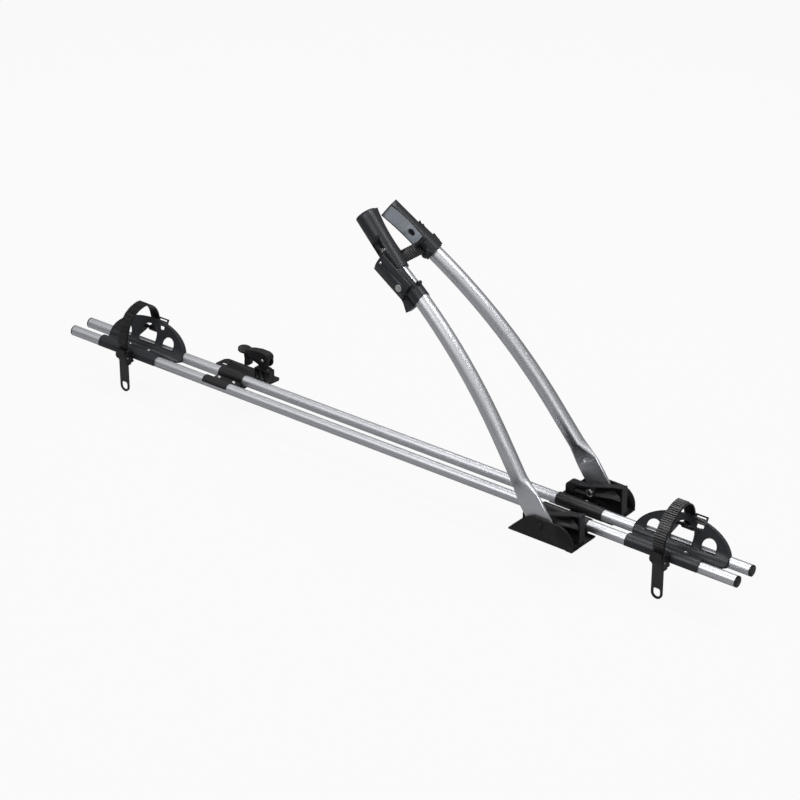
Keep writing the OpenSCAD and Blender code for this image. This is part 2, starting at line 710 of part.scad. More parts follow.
// The cam's fork, the handle over it, the latch leg and the oval thumb tab
module cam_lever() color(dark) at_rear() difference() {
    z = cam_z - 2;
    union() {
        translate([cam_x, 0, cam_z - cam_off]) bar_y(cam_r, cam_y[0], cam_y[1]);
        upright(cam_y[1], cam_y[1] - cam_y[0]) polygon([[52, z - 4], [54.5, z + 9], [52.5, z + 14], [47, z + 17],
            [28, z + 17.5], [10, z + 14.5], [-2, z + 11], [-2, z + 5], [12, z - 3], [28, z - 8], [40, z - 8]]);
        upright(cam_y[1] - 2, cam_y[1] - cam_y[0] - 4) polygon([[-8, z + 8], [4, z + 8], [8, z - 6], [3, z - 20],
            [-7, z - 22], [-6, z - 8]]);
        translate([-10, cam_mid, z + 6]) rotate([0, 10, 0]) {
            cylinder(r = 13, h = 4);
            block([0, -7, 0], [12, 7, 4]);
        }
    }
    translate([cam_x, 0, cam_z]) {
        bar_y(cam_pin_d / 2 + fit, cam_y[0] - eps, cam_y[1] + eps);
        bar_y(9.5, cam_eye[0] - 0.5, cam_eye[1] + 0.5);
        block([-5.2, cam_eye[0] - 0.5, -24], [24, cam_eye[1] + 0.5, 5.2]);
    }
}

module cam_pin() color(zinc) at_rear() translate([cam_x, 0, cam_z]) bar_y(cam_pin_d / 2, cam_y[0] - 0.8, cam_y[1] + 0.8);

// Eye bolt from the cam pin down to a T head under the plate
module cam_bolt() color(zinc) at_rear() translate([cam_x, 0, 0]) difference() {
    union() {
        translate([0, 0, cam_z]) bar_y(8.5, cam_eye[0], cam_eye[1]);
        translate([0, cam_mid, -12]) cylinder(r = 4, h = cam_z + 8);
        block([-11, cam_mid - 6, -17], [11, cam_mid + 6, -12]);
    }
    translate([0, 0, cam_z]) bar_y(cam_pin_d / 2 + fit, cam_eye[0] - eps, cam_eye[1] + eps);
}

// Wheel holders

// Origin at the foot of the wing, its plane is the X-Y plane of the children
module wing_plane() translate([0, wing_foot[0], wing_foot[1]]) rotate([90 - wing_lean, 0, 0]) children();

module wing_outline(inset) {
    a = wing_half - inset;
    b = wing_h - wing_side - inset;
    polygon(concat([[-a, 0]], [for (t = [180 : -6 : 0]) [a * cos(t), wing_side + b * sin(t)]], [[a, 0]]));
}

// Round topped opening
module arch(x0, x1, v0, v1) {
    r = (x1 - x0) / 2;
    translate([x0, v0]) square([2 * r, v1 - v0 - r]);
    translate([x0 + r, v1 - r]) circle(r = r);
}

// A tall opening for the strap in the middle and a lower one each side
module wing_openings() translate([-wing_off, 0]) {
    arch(-66, -36, 12, 34);
    arch(-18, 26, 12, 49);
    arch(42, 72, 12, 35);
    translate([24, 42]) square([14, 8]);
}

// Hollow backed half-round wing with a belt loop on its upper edge
module wing() wing_plane() translate([wing_off, 0, 0]) {
    difference() {
        translate([0, 0, -wing_rim]) linear_extrude(wing_rim) wing_outline(0);
        translate([0, 0, -wing_rim - eps]) linear_extrude(wing_rim + eps - tray_wall) wing_outline(tray_wall);
        translate([0, 0, -wing_rim - eps]) linear_extrude(wing_rim + 2 * eps) wing_openings();
    }
    translate([0, 0, -wing_rim]) linear_extrude(tray_wall) difference() {
        translate([7, wing_h - 4]) square([24, 9.5]);
        translate([9.5, wing_h + 0.3]) square([19, 2.7]);
    }
}

// Plan of the tray: the cover's straight edge, and ends that curve out to the wing
module tray_plan() {
    a = wing_off - wing_half + 2;
    b = wing_off + wing_half - 2;
    c = cover_off - cover_half;
    d = cover_off + cover_half;
    polygon([[a, 16], [b, 16], [b, 8], [b - 4, 0], [b - 14, -7], [d + 2, -12], [d, -18], [d, -40], [c, -40],
        [c, -12], [c - 3, -6], [a + 3, 2], [a, 8]]);
}

// Section of the tray: cover over the near tube and a dished web up to the wing
module tray_section() {
    difference() {
        translate([-rail_y, rail_z]) circle(r = cover_r);
        translate([-rail_y - 20, rail_z - 24]) square([50, 20]);
    }
    polygon([[-rail_y, rail_z + cover_r], [-15, rail_z + 11.5], [-6, rail_z + 4], [2, rail_z + 0.5],
        [wing_foot[0] + 1, rail_z + 1], [wing_foot[0] + 1.2, rail_z - 5], [3, rail_z - 3.5], [-6, rail_z - 3],
        [-11, rail_z], [-rail_y, rail_z]]);
    polygon([[wing_foot[0] - 4.5, rail_z - 0.5], [wing_foot[0] - 1, rail_z + 3], [wing_foot[0] + 2.8, rail_z + 7.3],
        [wing_foot[0] + 5.6, rail_z + 7.8], [wing_foot[0] + 1.6, rail_z - 1]]);
}

// Gussets behind the wing, and between them the bar that holds the strap
module strap_anchor() {
    for (g = [-22, 27]) translate([g, 0, 0]) rotate([90, 0, 90]) linear_extrude(3)
        polygon([[wing_foot[0] + 8.5, anchor[1] - 12], [anchor[0] - 4, anchor[1] - 6], [anchor[0] + 3, anchor[1] - 3],
            [anchor[0] + 3, anchor[1] + 3], [anchor[0] - 4, anchor[1] + 7], [wing_foot[0] + 17, anchor[1] + 6]]);
    translate([0, anchor[0], anchor[1]]) bar_x(anchor_r, -21, 29);
}

module tray(x) color(plastic) translate([x, 0, 0]) difference() {
    union() {
        intersection() {
            translate([-wing_half, 0, 0]) rotate([90, 0, 90]) linear_extrude(2 * wing_half + 9) tray_section();
            linear_extrude(60) tray_plan();
        }
        wing();
        strap_anchor();
    }
    for (s = [-1, 1]) translate([0, s * rail_y, rail_z]) bar_x(rail_r + gap, -wing_half - 9, wing_half + 9);
    for (s = [-1, 1]) translate([s * tray_bolt, 0, 0]) {
        cylinder(r = 2.1, h = 40);
        translate([0, 0, tray_seat]) cylinder(r = 4.3, h = 20);
    }
}

// Wedge between and under the two tubes, drawn up to the tray by its screws
module tray_clamp(x) color(dark) translate([x, 0, 0]) difference() {
    block([-34, -clamp_half_y, rail_z - rail_r - gap - clamp_t + 1], [34, clamp_half_y, rail_z - 5.5]);
    for (s = [-1, 1]) translate([0, s * rail_y, rail_z]) bar_x(rail_r + gap, -40, 40);
    for (s = [-1, 1]) translate([s * tray_bolt, 0, 0]) cylinder(r = 2.1, h = 40);
}

module tray_screws(x) color(zinc) for (s = [-1, 1]) translate([x + s * tray_bolt, 0, 2.5]) screw(tray_seat - 2.5);

// A smooth curve through points, n steps for each span
function spline_at(p, i, t) = let (a = p[max(i - 1, 0)], b = p[i], c = p[i + 1], d = p[min(i + 2, len(p) - 1)])
    0.5 * (2 * b + (c - a) * t + (2 * a - 5 * b + 4 * c - d) * t * t + (3 * b - a - 3 * c + d) * t * t * t);
function spline(p, n) = concat([for (i = [0 : len(p) - 2], k = [0 : n - 1]) spline_at(p, i, k / n)], [p[len(p) - 1]]);
function heading(c, i) = let (a = c[max(i - 1, 0)], b = c[min(i + 1, len(c) - 1)]) (b - a) / norm(b - a);
function side_step(c, i, d) = let (h = heading(c, i)) c[i] + d * [-h[1], h[0]];
function ribbon(c, t) = concat([for (i = [0 : len(c) - 1]) side_step(c, i, t / 2)],
    [for (i = [len(c) - 1 : -1 : 0]) side_step(c, i, -t / 2)]);

// Ladder strap from its anchor behind the wing, over the wheel, through the buckle,
// with ribs on its outer face and an oval ring at the end of its tail
module strap(x, loop) color(dark) translate([x, 0, 0]) {
    steps = 6;
    curve = spline([for (p = concat(loop, strap_end)) [p[0], p[1] + rail_z]], steps);
    translate([-strap_w / 2, 0, 0]) rotate([90, 0, 90]) linear_extrude(strap_w) difference() {
        union() {
            polygon(ribbon(curve, strap_t));
            translate(anchor) circle(r = ring_r + strap_t / 2);
            for (i = [5 * steps : 1 : 11 * steps - 2]) {
                h = heading(curve, i);
                translate(curve[i]) rotate(atan2(h[1], h[0]))
                    translate([-0.9, -strap_t / 2 - rib_h]) square([1.8, rib_h + 0.4]);
            }
        }
        translate(anchor) circle(r = ring_r - strap_t / 2);
    }
    translate([0, strap_y + strap_t / 2, rail_z - tail_len]) rotate([90, 0, 0]) linear_extrude(strap_t) difference() {
        union() {
            translate([0, strap_w / 2]) circle(r = strap_w / 2);
            translate([-strap_w / 2, strap_w / 2]) square([strap_w, 20.5 - strap_w / 2]);
        }
        for (z = [strap_w / 2, strap_w / 2 + 4]) translate([0, z]) circle(r = strap_w / 2 - 4);
        translate([4 - strap_w / 2, strap_w / 2]) square([strap_w - 8, 4]);
    }
}

// Body on the side of the cover with a cheek each side of the lever
module buckle(x) color(dark) translate([x, 0, 0]) difference() {
    union() {
        block([buckle_x[0], strap_y - 1, buckle_z[0] + 3], [buckle_x[1], -rail_y - cover_r + 2.5, buckle_z[1] - 6]);
        translate([buckle_x[0], 0, 0]) rotate([90, 0, 90]) linear_extrude(-strap_w / 2 - 0.4 - buckle_x[0])
            polygon([[strap_y + 3, buckle_z[0] + 4], [strap_y - 5, rail_z - 6], [lever_at[0] - 2.6, rail_z],
                [lever_at[0] - 2.6, rail_z + 4], [strap_y - 2, buckle_z[1] - 2], [strap_y + 3, buckle_z[1]],
                [strap_y + 6, rail_z + 10]]);
        translate([strap_w / 2 + 0.4, 0, 0]) rotate([90, 0, 90]) linear_extrude(buckle_x[1] - strap_w / 2 - 0.4)
            polygon([[strap_y + 3, buckle_z[0]], [strap_y - 5, buckle_z[0]], [strap_y - 9, buckle_z[0] + 4],
                [strap_y - 9, rail_z + 2], [strap_y - 5, buckle_z[1] - 2], [strap_y + 3, buckle_z[1]],
                [strap_y + 6, rail_z + 10]]);
    }
    block([-strap_w / 2 - 0.4, strap_y - strap_t / 2 - rib_h - gap, buckle_z[0] - 2],
        [strap_w / 2 + 0.4, strap_y + strap_t / 2 + gap, buckle_z[1] + 2]);
    translate([0, -rail_y, rail_z]) bar_x(cover_r, -30, 30);
    translate([0, lever_at[0], lever_at[1]]) bar_x(buckle_pin_r + fit, -30, 30);
}

module buckle_lever(x) color(dark) translate([x, lever_at[0], lever_at[1]]) difference() {
    half = strap_w / 2 + 0.1;
    union() {
        bar_x(2.6, -half, half);
        translate([-half, 0, 0]) rotate([90, 0, 90]) linear_extrude(2 * half)
            polygon([[0.8, 0], [0.8, 11], [-0.6, 14], [-3.4, 15.5], [-3.6, 12], [-2.6, 7], [-2.6, 0]]);
    }
    bar_x(buckle_pin_r + fit, -20, 20);
}

module buckle_pin(x) color(zinc) translate([x, lever_at[0], lever_at[1]])
    bar_x(buckle_pin_r, buckle_x[0] - 0.4, buckle_x[1] + 0.4);

rail(-1);  // rail_near
rail(1);  // rail_far
rail_end_plugs();
front_bracket(-1);  // front_bracket_near
front_bracket(1);  // front_bracket_far
front_cross_plate();
front_saddle(-1);  // front_saddle_near
front_saddle(1);  // front_saddle_far
saddle_screws();
bar_hooks();
pivot_bolts();
pivot_nuts();
arm(-1, bush_r + fit);  // near_arm
arm(1, bush_r + gap);  // far_arm
pivot_bush(-1);  // near_pivot_bush
pivot_bush(1);  // far_pivot_bush
near_jaw();
far_jaw();
jaw_pad(-1, near_lean, near_jaw_len);  // near_jaw_pad
jaw_pad(1, far_lean, far_jaw_len);  // far_jaw_pad
jaw_screw(-1);  // near_jaw_screw
jaw_screw(1);  // far_jaw_screw
jaw_belt();
belt_clip();
ratchet_housing();
ratchet_lever();
lever_pin();
lock_cylinder();
ratchet_pawl();
pawl_pin();
rear_plate();
rear_saddle();
rear_screws();
cam_tower();
cam_lever();
cam_pin();
cam_bolt();
tray(front_wheel_x);  // front_tray
tray_clamp(front_wheel_x);  // front_clamp
tray_screws(front_wheel_x);  // front_tray_screws
strap(front_wheel_x, front_loop);  // front_strap
buckle(front_wheel_x);  // front_buckle
buckle_lever(front_wheel_x);  // front_buckle_lever
buckle_pin(front_wheel_x);  // front_buckle_pin
tray(-rear_wheel_back);  // rear_tray
tray_clamp(-rear_wheel_back);  // rear_clamp
tray_screws(-rear_wheel_back);  // rear_tray_screws
strap(-rear_wheel_back, rear_loop);  // rear_strap
buckle(-rear_wheel_back);  // rear_buckle
buckle_lever(-rear_wheel_back);  // rear_buckle_lever
buckle_pin(-rear_wheel_back);  // rear_buckle_pin
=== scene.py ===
# %% [markdown]
# # A roof mounted bike carrier
# Two aluminium rail tubes carry a folding frame holder and two wheel holders. The shapes come
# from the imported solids, which stay fixed. This lesson gives every surface its finish, adds the
# ribs of the straps and the beads along the moulded edges, and sets up the camera and a soft
# studio.

# %% Load the fixed frame
import json
import math

import bmesh
import bpy
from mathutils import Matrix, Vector


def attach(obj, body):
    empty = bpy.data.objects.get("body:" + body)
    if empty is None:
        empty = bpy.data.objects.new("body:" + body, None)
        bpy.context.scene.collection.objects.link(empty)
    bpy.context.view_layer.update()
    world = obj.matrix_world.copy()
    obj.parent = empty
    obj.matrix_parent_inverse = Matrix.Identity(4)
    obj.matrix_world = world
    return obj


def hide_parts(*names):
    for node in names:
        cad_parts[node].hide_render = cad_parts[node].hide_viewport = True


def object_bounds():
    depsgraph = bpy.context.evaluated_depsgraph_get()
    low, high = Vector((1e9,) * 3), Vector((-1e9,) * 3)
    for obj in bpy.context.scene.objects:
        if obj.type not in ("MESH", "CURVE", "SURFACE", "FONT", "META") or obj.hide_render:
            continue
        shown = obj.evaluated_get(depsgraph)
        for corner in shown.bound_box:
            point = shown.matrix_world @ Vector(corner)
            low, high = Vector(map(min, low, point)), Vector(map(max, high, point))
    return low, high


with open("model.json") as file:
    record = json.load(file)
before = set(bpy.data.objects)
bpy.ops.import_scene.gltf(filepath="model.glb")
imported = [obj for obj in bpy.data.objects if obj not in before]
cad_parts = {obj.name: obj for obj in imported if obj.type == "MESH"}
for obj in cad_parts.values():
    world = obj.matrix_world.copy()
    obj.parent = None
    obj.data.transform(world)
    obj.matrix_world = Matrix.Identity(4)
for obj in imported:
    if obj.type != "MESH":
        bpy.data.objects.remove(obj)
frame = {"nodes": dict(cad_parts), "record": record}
cad_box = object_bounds()
nodes = frame["nodes"]
scene = bpy.context.scene
MM = 0.001

# %% [markdown]
# ## The camera
# The view was fitted to the straight rails of the photograph. A long lens stands about five
# metres away, 27 degrees above the rails, so the parallel tubes converge only a little.

# %% Place the camera
VIEW_AZIMUTH = 38.7
VIEW_ELEVATION = 27.1
VIEW_FROM = (2.2428, -3.2607, 2.2452)
LENS = 121.1
SENSOR_WIDTH = 36.0
camera_data = bpy.data.cameras.new("camera")
camera_data.lens = LENS
camera_data.sensor_width = SENSOR_WIDTH
camera_data.sensor_fit = "HORIZONTAL"
camera = bpy.data.objects.new("camera", camera_data)
camera.location = VIEW_FROM
camera.rotation_euler = (math.radians(90 - VIEW_ELEVATION), 0, math.radians(VIEW_AZIMUTH))
scene.collection.objects.link(camera)
scene.camera = camera
scene.view_settings.view_transform = "Standard"
print("camera at", [round(c, 2) for c in camera.location])

# %% [markdown]
# ## Maths on sockets
# A finish is easier to read as an expression than as a page of links. One small class wraps a
# socket, so that adding or multiplying two of them adds a Math node. The reflected forms let a
# plain number stand first, as in 1 - mask.

# %% A socket that knows its arithmetic
class Sock:
    def __init__(self, graph, socket):
        self.graph = graph
        self.socket = socket

    def maths(self, operation, a, b):
        return self.graph.node("ShaderNodeMath", {"operation": operation}, {0: a, 1: b})

    def __add__(self, other):
        return self.maths("ADD", self, other)

    def __radd__(self, other):
        return self.maths("ADD", other, self)

    def __sub__(self, other):
        return self.maths("SUBTRACT", self, other)

    def __rsub__(self, other):
        return self.maths("SUBTRACT", other, self)

    def __mul__(self, other):
        return self.maths("MULTIPLY", self, other)

    def __rmul__(self, other):
        return self.maths("MULTIPLY", other, self)


# %% [markdown]
# ## One way to add a node
# Every other node comes from a single method. It takes the node's type, then its settings, then
# the values or links of its sockets, and gives back the output that is wanted.

# %% A graph of nodes
class Graph:
    def __init__(self, tree):
        self.tree = tree
        self.tree.nodes.clear()

    def node(self, kind, settings=None, values=None, out=0):
        made = self.tree.nodes.new(kind)
        for key, value in (settings or {}).items():
            if key == "stops":
                self.set_stops(made.color_ramp, value)
            else:
                setattr(made, key, value)
        for key, value in (values or {}).items():
            if isinstance(value, Sock):
                self.tree.links.new(value.socket, made.inputs[key])
            else:
                made.inputs[key].default_value = value
        return Sock(self, made.outputs[out]) if len(made.outputs) else None

    def set_stops(self, ramp, stops):
        while len(ramp.elements) < len(stops):
            ramp.elements.new(0.5)
        for element, (place, grey) in zip(ramp.elements, stops):
            element.position = place
            element.color = (grey, grey, grey, 1)

    def mix(self, factor, a, b):
        return self.node("ShaderNodeMix", {"data_type": "RGBA"}, {0: factor, 6: a, 7: b}, 2)

    def ramp(self, value, stops):
        return self.node("ShaderNodeValToRGB", {"stops": stops}, {0: value})


print("helpers ready")

# %% [markdown]
# ## Patterns and the common shader
# All patterns read Object coordinates, in metres, so they stay on the piece. Noise gives the
# grain of a mould, the streaks of a drawn tube and faint scuffs. Each finish ends the same way:
# a Bump node adds the grain, and one Principled shader takes the colour and the roughness. A
# Bevel node softens sharp edges first. The tubes and the straps do without it, because their
# surfaces are round or thin.

# %% Noise in object space
def noise(g, scale, stretch=(1, 1, 1), turn=(0, 0, 0), detail=2.0):
    place = g.node("ShaderNodeTexCoord", out="Object")
    place = g.node("ShaderNodeMapping", None, {"Vector": place, "Rotation": turn})
    place = g.node("ShaderNodeMapping", None, {"Vector": place, "Scale": stretch})
    return g.node("ShaderNodeTexNoise", None, {"Vector": place, "Scale": scale, "Detail": detail})


def scuffs(g, scale, low, high):
    return g.ramp(noise(g, scale, detail=5.0), [(low, 0), (high, 1)])


# %% The shader that ends every finish
EDGE = 0.9 * MM
NO_EDGE = 0
BEVEL_SAMPLES = 8


def shade(g, color, rough, height, depth, metallic=0.0, edge=EDGE, gloss=0.5):
    values = {"Distance": depth, "Height": height}
    if edge > NO_EDGE:
        values["Normal"] = g.node("ShaderNodeBevel", {"samples": BEVEL_SAMPLES}, {"Radius": edge})
    bump = g.node("ShaderNodeBump", None, values)
    surface = g.node("ShaderNodeBsdfPrincipled", None, {
        "Base Color": color, "Roughness": rough, "Metallic": metallic, "Normal": bump,
        "Specular IOR Level": gloss})
    g.node("ShaderNodeOutputMaterial", None, {"Surface": surface})


def new_graph(name):
    material = bpy.data.materials.new(name)
    material.use_nodes = True
    return material, Graph(material.node_tree)


# %% [markdown]
# ## Drawn and anodised aluminium
# The tubes are drawn through a die, which leaves fine lines along them, and then anodised to a
# satin sheen. Noise stretched along the tube gives the lines. The arms slope, so their pattern
# is turned to run along them first. A slow, soft noise varies the sheen, as handling does.

# %% The tube finish
LINE_STRETCH = (6, 420, 420)
LINE_DEPTH = 0.002 * MM


def drawn_tube(name, turn):
    material, g = new_graph(name)
    lines = noise(g, 1.0, LINE_STRETCH, turn, 1.0)
    cloud = noise(g, 9.0)
    tone = lines * 0.25 + cloud * 0.75
    color = g.mix(tone, (0.54, 0.55, 0.58, 1), (0.66, 0.67, 0.70, 1))
    rough = 0.40 + lines * 0.04 + cloud * 0.06
    shade(g, color, rough, lines, LINE_DEPTH, metallic=1.0, edge=NO_EDGE)
    return material


RAIL_TURN = (0, 0, 0)
ARM_TURN = (0, math.radians(133), 0)
rail_metal = drawn_tube("drawn_rail", RAIL_TURN)
arm_metal = drawn_tube("drawn_arm", ARM_TURN)
print("tube finishes:", rail_metal.name, arm_metal.name)

# %% [markdown]
# ## Black powder coat
# Pressed steel is dipped in powder and baked. The coat flows into a faint orange peel about a
# millimetre across, and it rubs to a paler grey where it is handled.

# %% The powder coat
PEEL_DEPTH = 0.03 * MM
COAT_GLOSS = 0.3


def powder_coat():
    material, g = new_graph("powder_coat")
    peel = noise(g, 850.0, detail=1.0)
    rub = scuffs(g, 60.0, 0.56, 0.78)
    color = g.mix(rub * 0.5, (0.006, 0.006, 0.007, 1), (0.026, 0.027, 0.029, 1))
    rough = 0.34 + peel * 0.12 + rub * 0.14
    shade(g, color, rough, peel, PEEL_DEPTH, gloss=COAT_GLOSS)
    return material


# %% [markdown]
# ## Moulded plastic
# The jaws, trays and saddles are moulded nylon and polypropylene. The mould has a spark eroded
# grain of about a third of a millimetre. The colour clouds a little where the melt flowed, and
# rubbed places are paler and smoother. The same rule serves the charcoal and the black mouldings
# with their own colours.

# %% The plastic finishes
GRAIN_DEPTH = 0.012 * MM
MOULD_GLOSS = 0.35
RUBBED = (0.09, 0.093, 0.1, 1)


def moulded(name, deep, pale, base_rough):
    material, g = new_graph(name)
    grain = noise(g, 2600.0, detail=2.0)
    flow = noise(g, 22.0, (1, 1, 2.5), detail=3.0)
    rub = scuffs(g, 140.0, 0.58, 0.8)
    color = g.mix(flow * 0.7 + grain * 0.3, deep, pale)
    color = g.mix(rub * 0.12, color, RUBBED)
    rough = base_rough + grain * 0.12 + flow * 0.08 - rub * 0.06
    shade(g, color, rough, grain + rub * 0.2, GRAIN_DEPTH, gloss=MOULD_GLOSS)
    return material


charcoal = moulded("charcoal_moulding", (0.012, 0.013, 0.016, 1), (0.024, 0.026, 0.031, 1), 0.3)
black = moulded("black_moulding", (0.005, 0.005, 0.006, 1), (0.012, 0.012, 0.014, 1), 0.32)
print("moulded finishes:", charcoal.name, black.name)

# %% [markdown]
# ## Soft grey pads
# The pads that hold the bike frame are soft rubber, matt and pale, with a fine speckle of the
# filler and a little dust in the grain.

# %% The pad rubber
SPECK_DEPTH = 0.05 * MM


def pad_rubber():
    material, g = new_graph("pad_rubber")
    speck = noise(g, 1700.0, detail=3.0)
    dust = noise(g, 35.0, detail=3.0)
    tone = speck * 0.5 + dust * 0.5
    color = g.mix(tone, (0.22, 0.25, 0.28, 1), (0.42, 0.46, 0.50, 1))
    shade(g, color, 0.6 + dust * 0.2, speck, SPECK_DEPTH)
    return material


# %% [markdown]
# ## Ladder strap and belt plastic
# The straps and the toothed belt are flexible plastic. They come out of the mould glossier than
# the trays, with rub marks along them from being pulled through the buckle.

# %% The strap plastic
DRAG_STRETCH = (1600, 60, 60)
DRAG_DEPTH = 0.004 * MM


def strap_plastic():
    material, g = new_graph("strap_plastic")
    drag = noise(g, 1.0, DRAG_STRETCH, detail=2.0)
    cloud = noise(g, 30.0)
    tone = cloud * 0.6 + drag * 0.4
    color = g.mix(tone, (0.006, 0.006, 0.007, 1), (0.018, 0.018, 0.020, 1))
    rough = 0.24 + drag * 0.1 + cloud * 0.08
    shade(g, color, rough, drag, DRAG_DEPTH, edge=NO_EDGE)
    return material


# %% [markdown]
# ## Zinc plated steel
# Screws, pins and bushes are plated. Plating is bright but slightly uneven, with a faint warm
# and cool tint from the passivation.

# %% The plating
PLATE_DEPTH = 0.01 * MM


def zinc_plate():
    material, g = new_graph("zinc_plate")
    tint = noise(g, 260.0, detail=2.0)
    fine = noise(g, 3000.0, detail=2.0)
    color = g.mix(tint, (0.50, 0.51, 0.54, 1), (0.68, 0.66, 0.60, 1))
    rough = 0.26 + fine * 0.16 + tint * 0.08
    shade(g, color, rough, fine, PLATE_DEPTH, metallic=1.0)
    return material


# %% [markdown]
# ## Smooth skins for the solids
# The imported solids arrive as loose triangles, and a bright highlight on a tube would show every
# facet. A copy of each solid is welded, its shallow edges are shaded smooth, and edges sharper
# than 30 degrees stay crisp. The copy stands for the solid and has exactly its shape.

# %% Weld and smooth a copy
SMOOTH_ANGLE = math.radians(30)
WELD = 0.002 * MM


def smooth_skin(name, solid):
    work = bmesh.new()
    work.from_mesh(solid.data)
    bmesh.ops.remove_doubles(work, verts=work.verts, dist=WELD)
    mesh = bpy.data.meshes.new(name + "_skin")
    work.to_mesh(mesh)
    work.free()
    for face in mesh.polygons:
        face.use_smooth = True
    mesh.set_sharp_from_angle(angle=SMOOTH_ANGLE)
    skin = bpy.data.objects.new(name + "_skin", mesh)
    scene.collection.objects.link(skin)
    return skin


# %% [markdown]
# ## Give each skin its finish
# The record says which material slot each solid takes, so one table of slots dresses them all.
# The arms take the turned pattern. Each skin rides on the body of the solid that it stands for.

# %% Dress the carrier
finish_of = {"aluminium_tube": rail_metal, "black_steel": powder_coat(), "zinc_steel": zinc_plate(),
             "black_plastic": black, "charcoal_plastic": charcoal, "pad_rubber": pad_rubber(),
             "strap_plastic": strap_plastic()}
slot_of = {entry["node"]: entry["material_slot"] for entry in frame["record"]["subparts"]}
bodies = frame["record"]["behaviour"]["bodies"]
body_of = {name: body for body, names in bodies.items() for name in names}
faces = 0
for name, solid in nodes.items():
    skin = smooth_skin(name, solid)
    finish = arm_metal if name in ("near_arm", "far_arm") else finish_of[slot_of[name]]
    skin.data.materials.clear()
    skin.data.materials.append(finish)
    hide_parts(name)
    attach(skin, body_of[name])
    faces += len(skin.data.polygons)
print("skins:", len(nodes), "triangles:", faces)

# %% [markdown]
# ## Geometry Nodes helpers
# What repeats or follows a path is made by a node tree with named sizes. A modifier runs the
# tree once on a small starting mesh, and its result is kept as a plain mesh at the origin.

# %% Build and run a tree
FLOAT = "NodeSocketFloat"
MATERIAL = "NodeSocketMaterial"


def new_tree(name, inputs):
    tree = bpy.data.node_groups.new(name, "GeometryNodeTree")
    tree.interface.new_socket("Geometry", in_out="INPUT", socket_type="NodeSocketGeometry")
    for label, kind in inputs:
        tree.interface.new_socket(label, in_out="INPUT", socket_type=kind)
    tree.interface.new_socket("Geometry", in_out="OUTPUT", socket_type="NodeSocketGeometry")
    return tree, Graph(tree)


def group_input(g, label):
    return g.node("NodeGroupInput", out=label)


def run_tree(name, tree, values, points, edges):
    start = bpy.data.meshes.new(name + "_start")
    start.from_pydata(points, edges, [])
    maker = bpy.data.objects.new(name + "_maker", start)
    scene.collection.objects.link(maker)
    modifier = maker.modifiers.new("make", "NODES")
    modifier.node_group = tree
    for item in tree.interface.items_tree:
        if item.in_out == "INPUT" and item.name in values:
            modifier[item.identifier] = values[item.name]
    shape = maker.evaluated_get(bpy.context.evaluated_depsgraph_get())
    mesh = bpy.data.meshes.new_from_object(shape)
    bpy.data.objects.remove(maker)
    return keep_piece(name, mesh)


def keep_piece(name, mesh):
    work = bmesh.new()
    work.from_mesh(mesh)
    bmesh.ops.recalc_face_normals(work, faces=work.faces)
    work.to_mesh(mesh)
    work.free()
    mesh.name = name
    piece = bpy.data.objects.new(name, mesh)
    scene.collection.objects.link(piece)
    return piece


# %% [markdown]
# ## Ladder ribs along the straps
# A ladder strap is ribbed across its outer face, so that the buckle's pawl can catch. The ribs
# follow the strap round the wheel at an even pitch. The tree turns the strap's line into a curve,
# divides it by the pitch, and sets a slim half-sunk bar on every point.

# %% The rib tree
RIB_SIDES = 10
ACROSS = (0, math.radians(90), 0)
rib_tree, g = new_tree("ladder_ribs", [("Pitch", FLOAT), ("Width", FLOAT), ("Radius", FLOAT),
                                       ("Material", MATERIAL)])
path = g.node("GeometryNodeMeshToCurve", None, {"Mesh": group_input(g, "Geometry")})
path = g.node("GeometryNodeResampleCurve", {"mode": "LENGTH"},
              {"Curve": path, "Length": group_input(g, "Pitch")})
bar = g.node("GeometryNodeMeshCylinder", None, {
    "Vertices": RIB_SIDES, "Radius": group_input(g, "Radius"), "Depth": group_input(g, "Width")})
bar = g.node("GeometryNodeTransform", None, {"Geometry": bar, "Rotation": ACROSS})
row = g.node("GeometryNodeInstanceOnPoints", None, {"Points": path, "Instance": bar})
row = g.node("GeometryNodeRealizeInstances", None, {"Geometry": row})
row = g.node("GeometryNodeSetMaterial", None,
             {"Geometry": row, "Material": group_input(g, "Material")})
g.node("NodeGroupOutput", None, {"Geometry": row})
print("rib tree nodes:", len(rib_tree.nodes))

# %% [markdown]
# ## The line of each strap
# The strap's middle line is a smooth curve through a few points across the rails, with the same
# numbers as its solid. The ribs lie on its outer face, from over the wheel down to the buckle.
# Lengths are in millimetres, and heights count from the middle of the rails.

# %% The strap's middle line
HOLDERS = {"front": (204.5, "front_holder"), "rear": (-1000.5, "rear_holder")}
RAIL_Z = 16.0
STRAP_T = 2.4
RIB_H = 1.2
STRAP_Y = -43.0
TAIL = 74.0
ANCHOR = (44.0, 40.0)
RING_R = 4.3
START = (ANCHOR[0] + RING_R, ANCHOR[1] - RAIL_Z)
END = [(STRAP_Y + 1, 34), (STRAP_Y, 20), (STRAP_Y, 4), (STRAP_Y, -16), (STRAP_Y, 20 - TAIL)]
LOOPS = {"front": [START, (47.6, 36), (46, 49), (42.6, 61), (36, 71), (24, 78.5), (8, 77.5),
                   (-8, 71), (-22, 61.5), (-33, 49)],
         "rear": [START, (48, 36), (46.5, 50), (42, 65), (32, 78), (16, 86.5), (-3, 84.5),
                  (-20, 76), (-31, 63), (-38, 47)]}
STEPS = 6
FIRST_RIB = 5 * STEPS
LAST_RIB = 11 * STEPS - 2


def spline_point(p, i, t):
    a, b, c, d = (Vector(p[max(0, min(k, len(p) - 1))]) for k in (i - 1, i, i + 1, i + 2))
    square = (2 * a - 5 * b + 4 * c - d) * t ** 2
    cube = (3 * b - a - 3 * c + d) * t ** 3
    return 0.5 * (2 * b + (c - a) * t + square + cube)


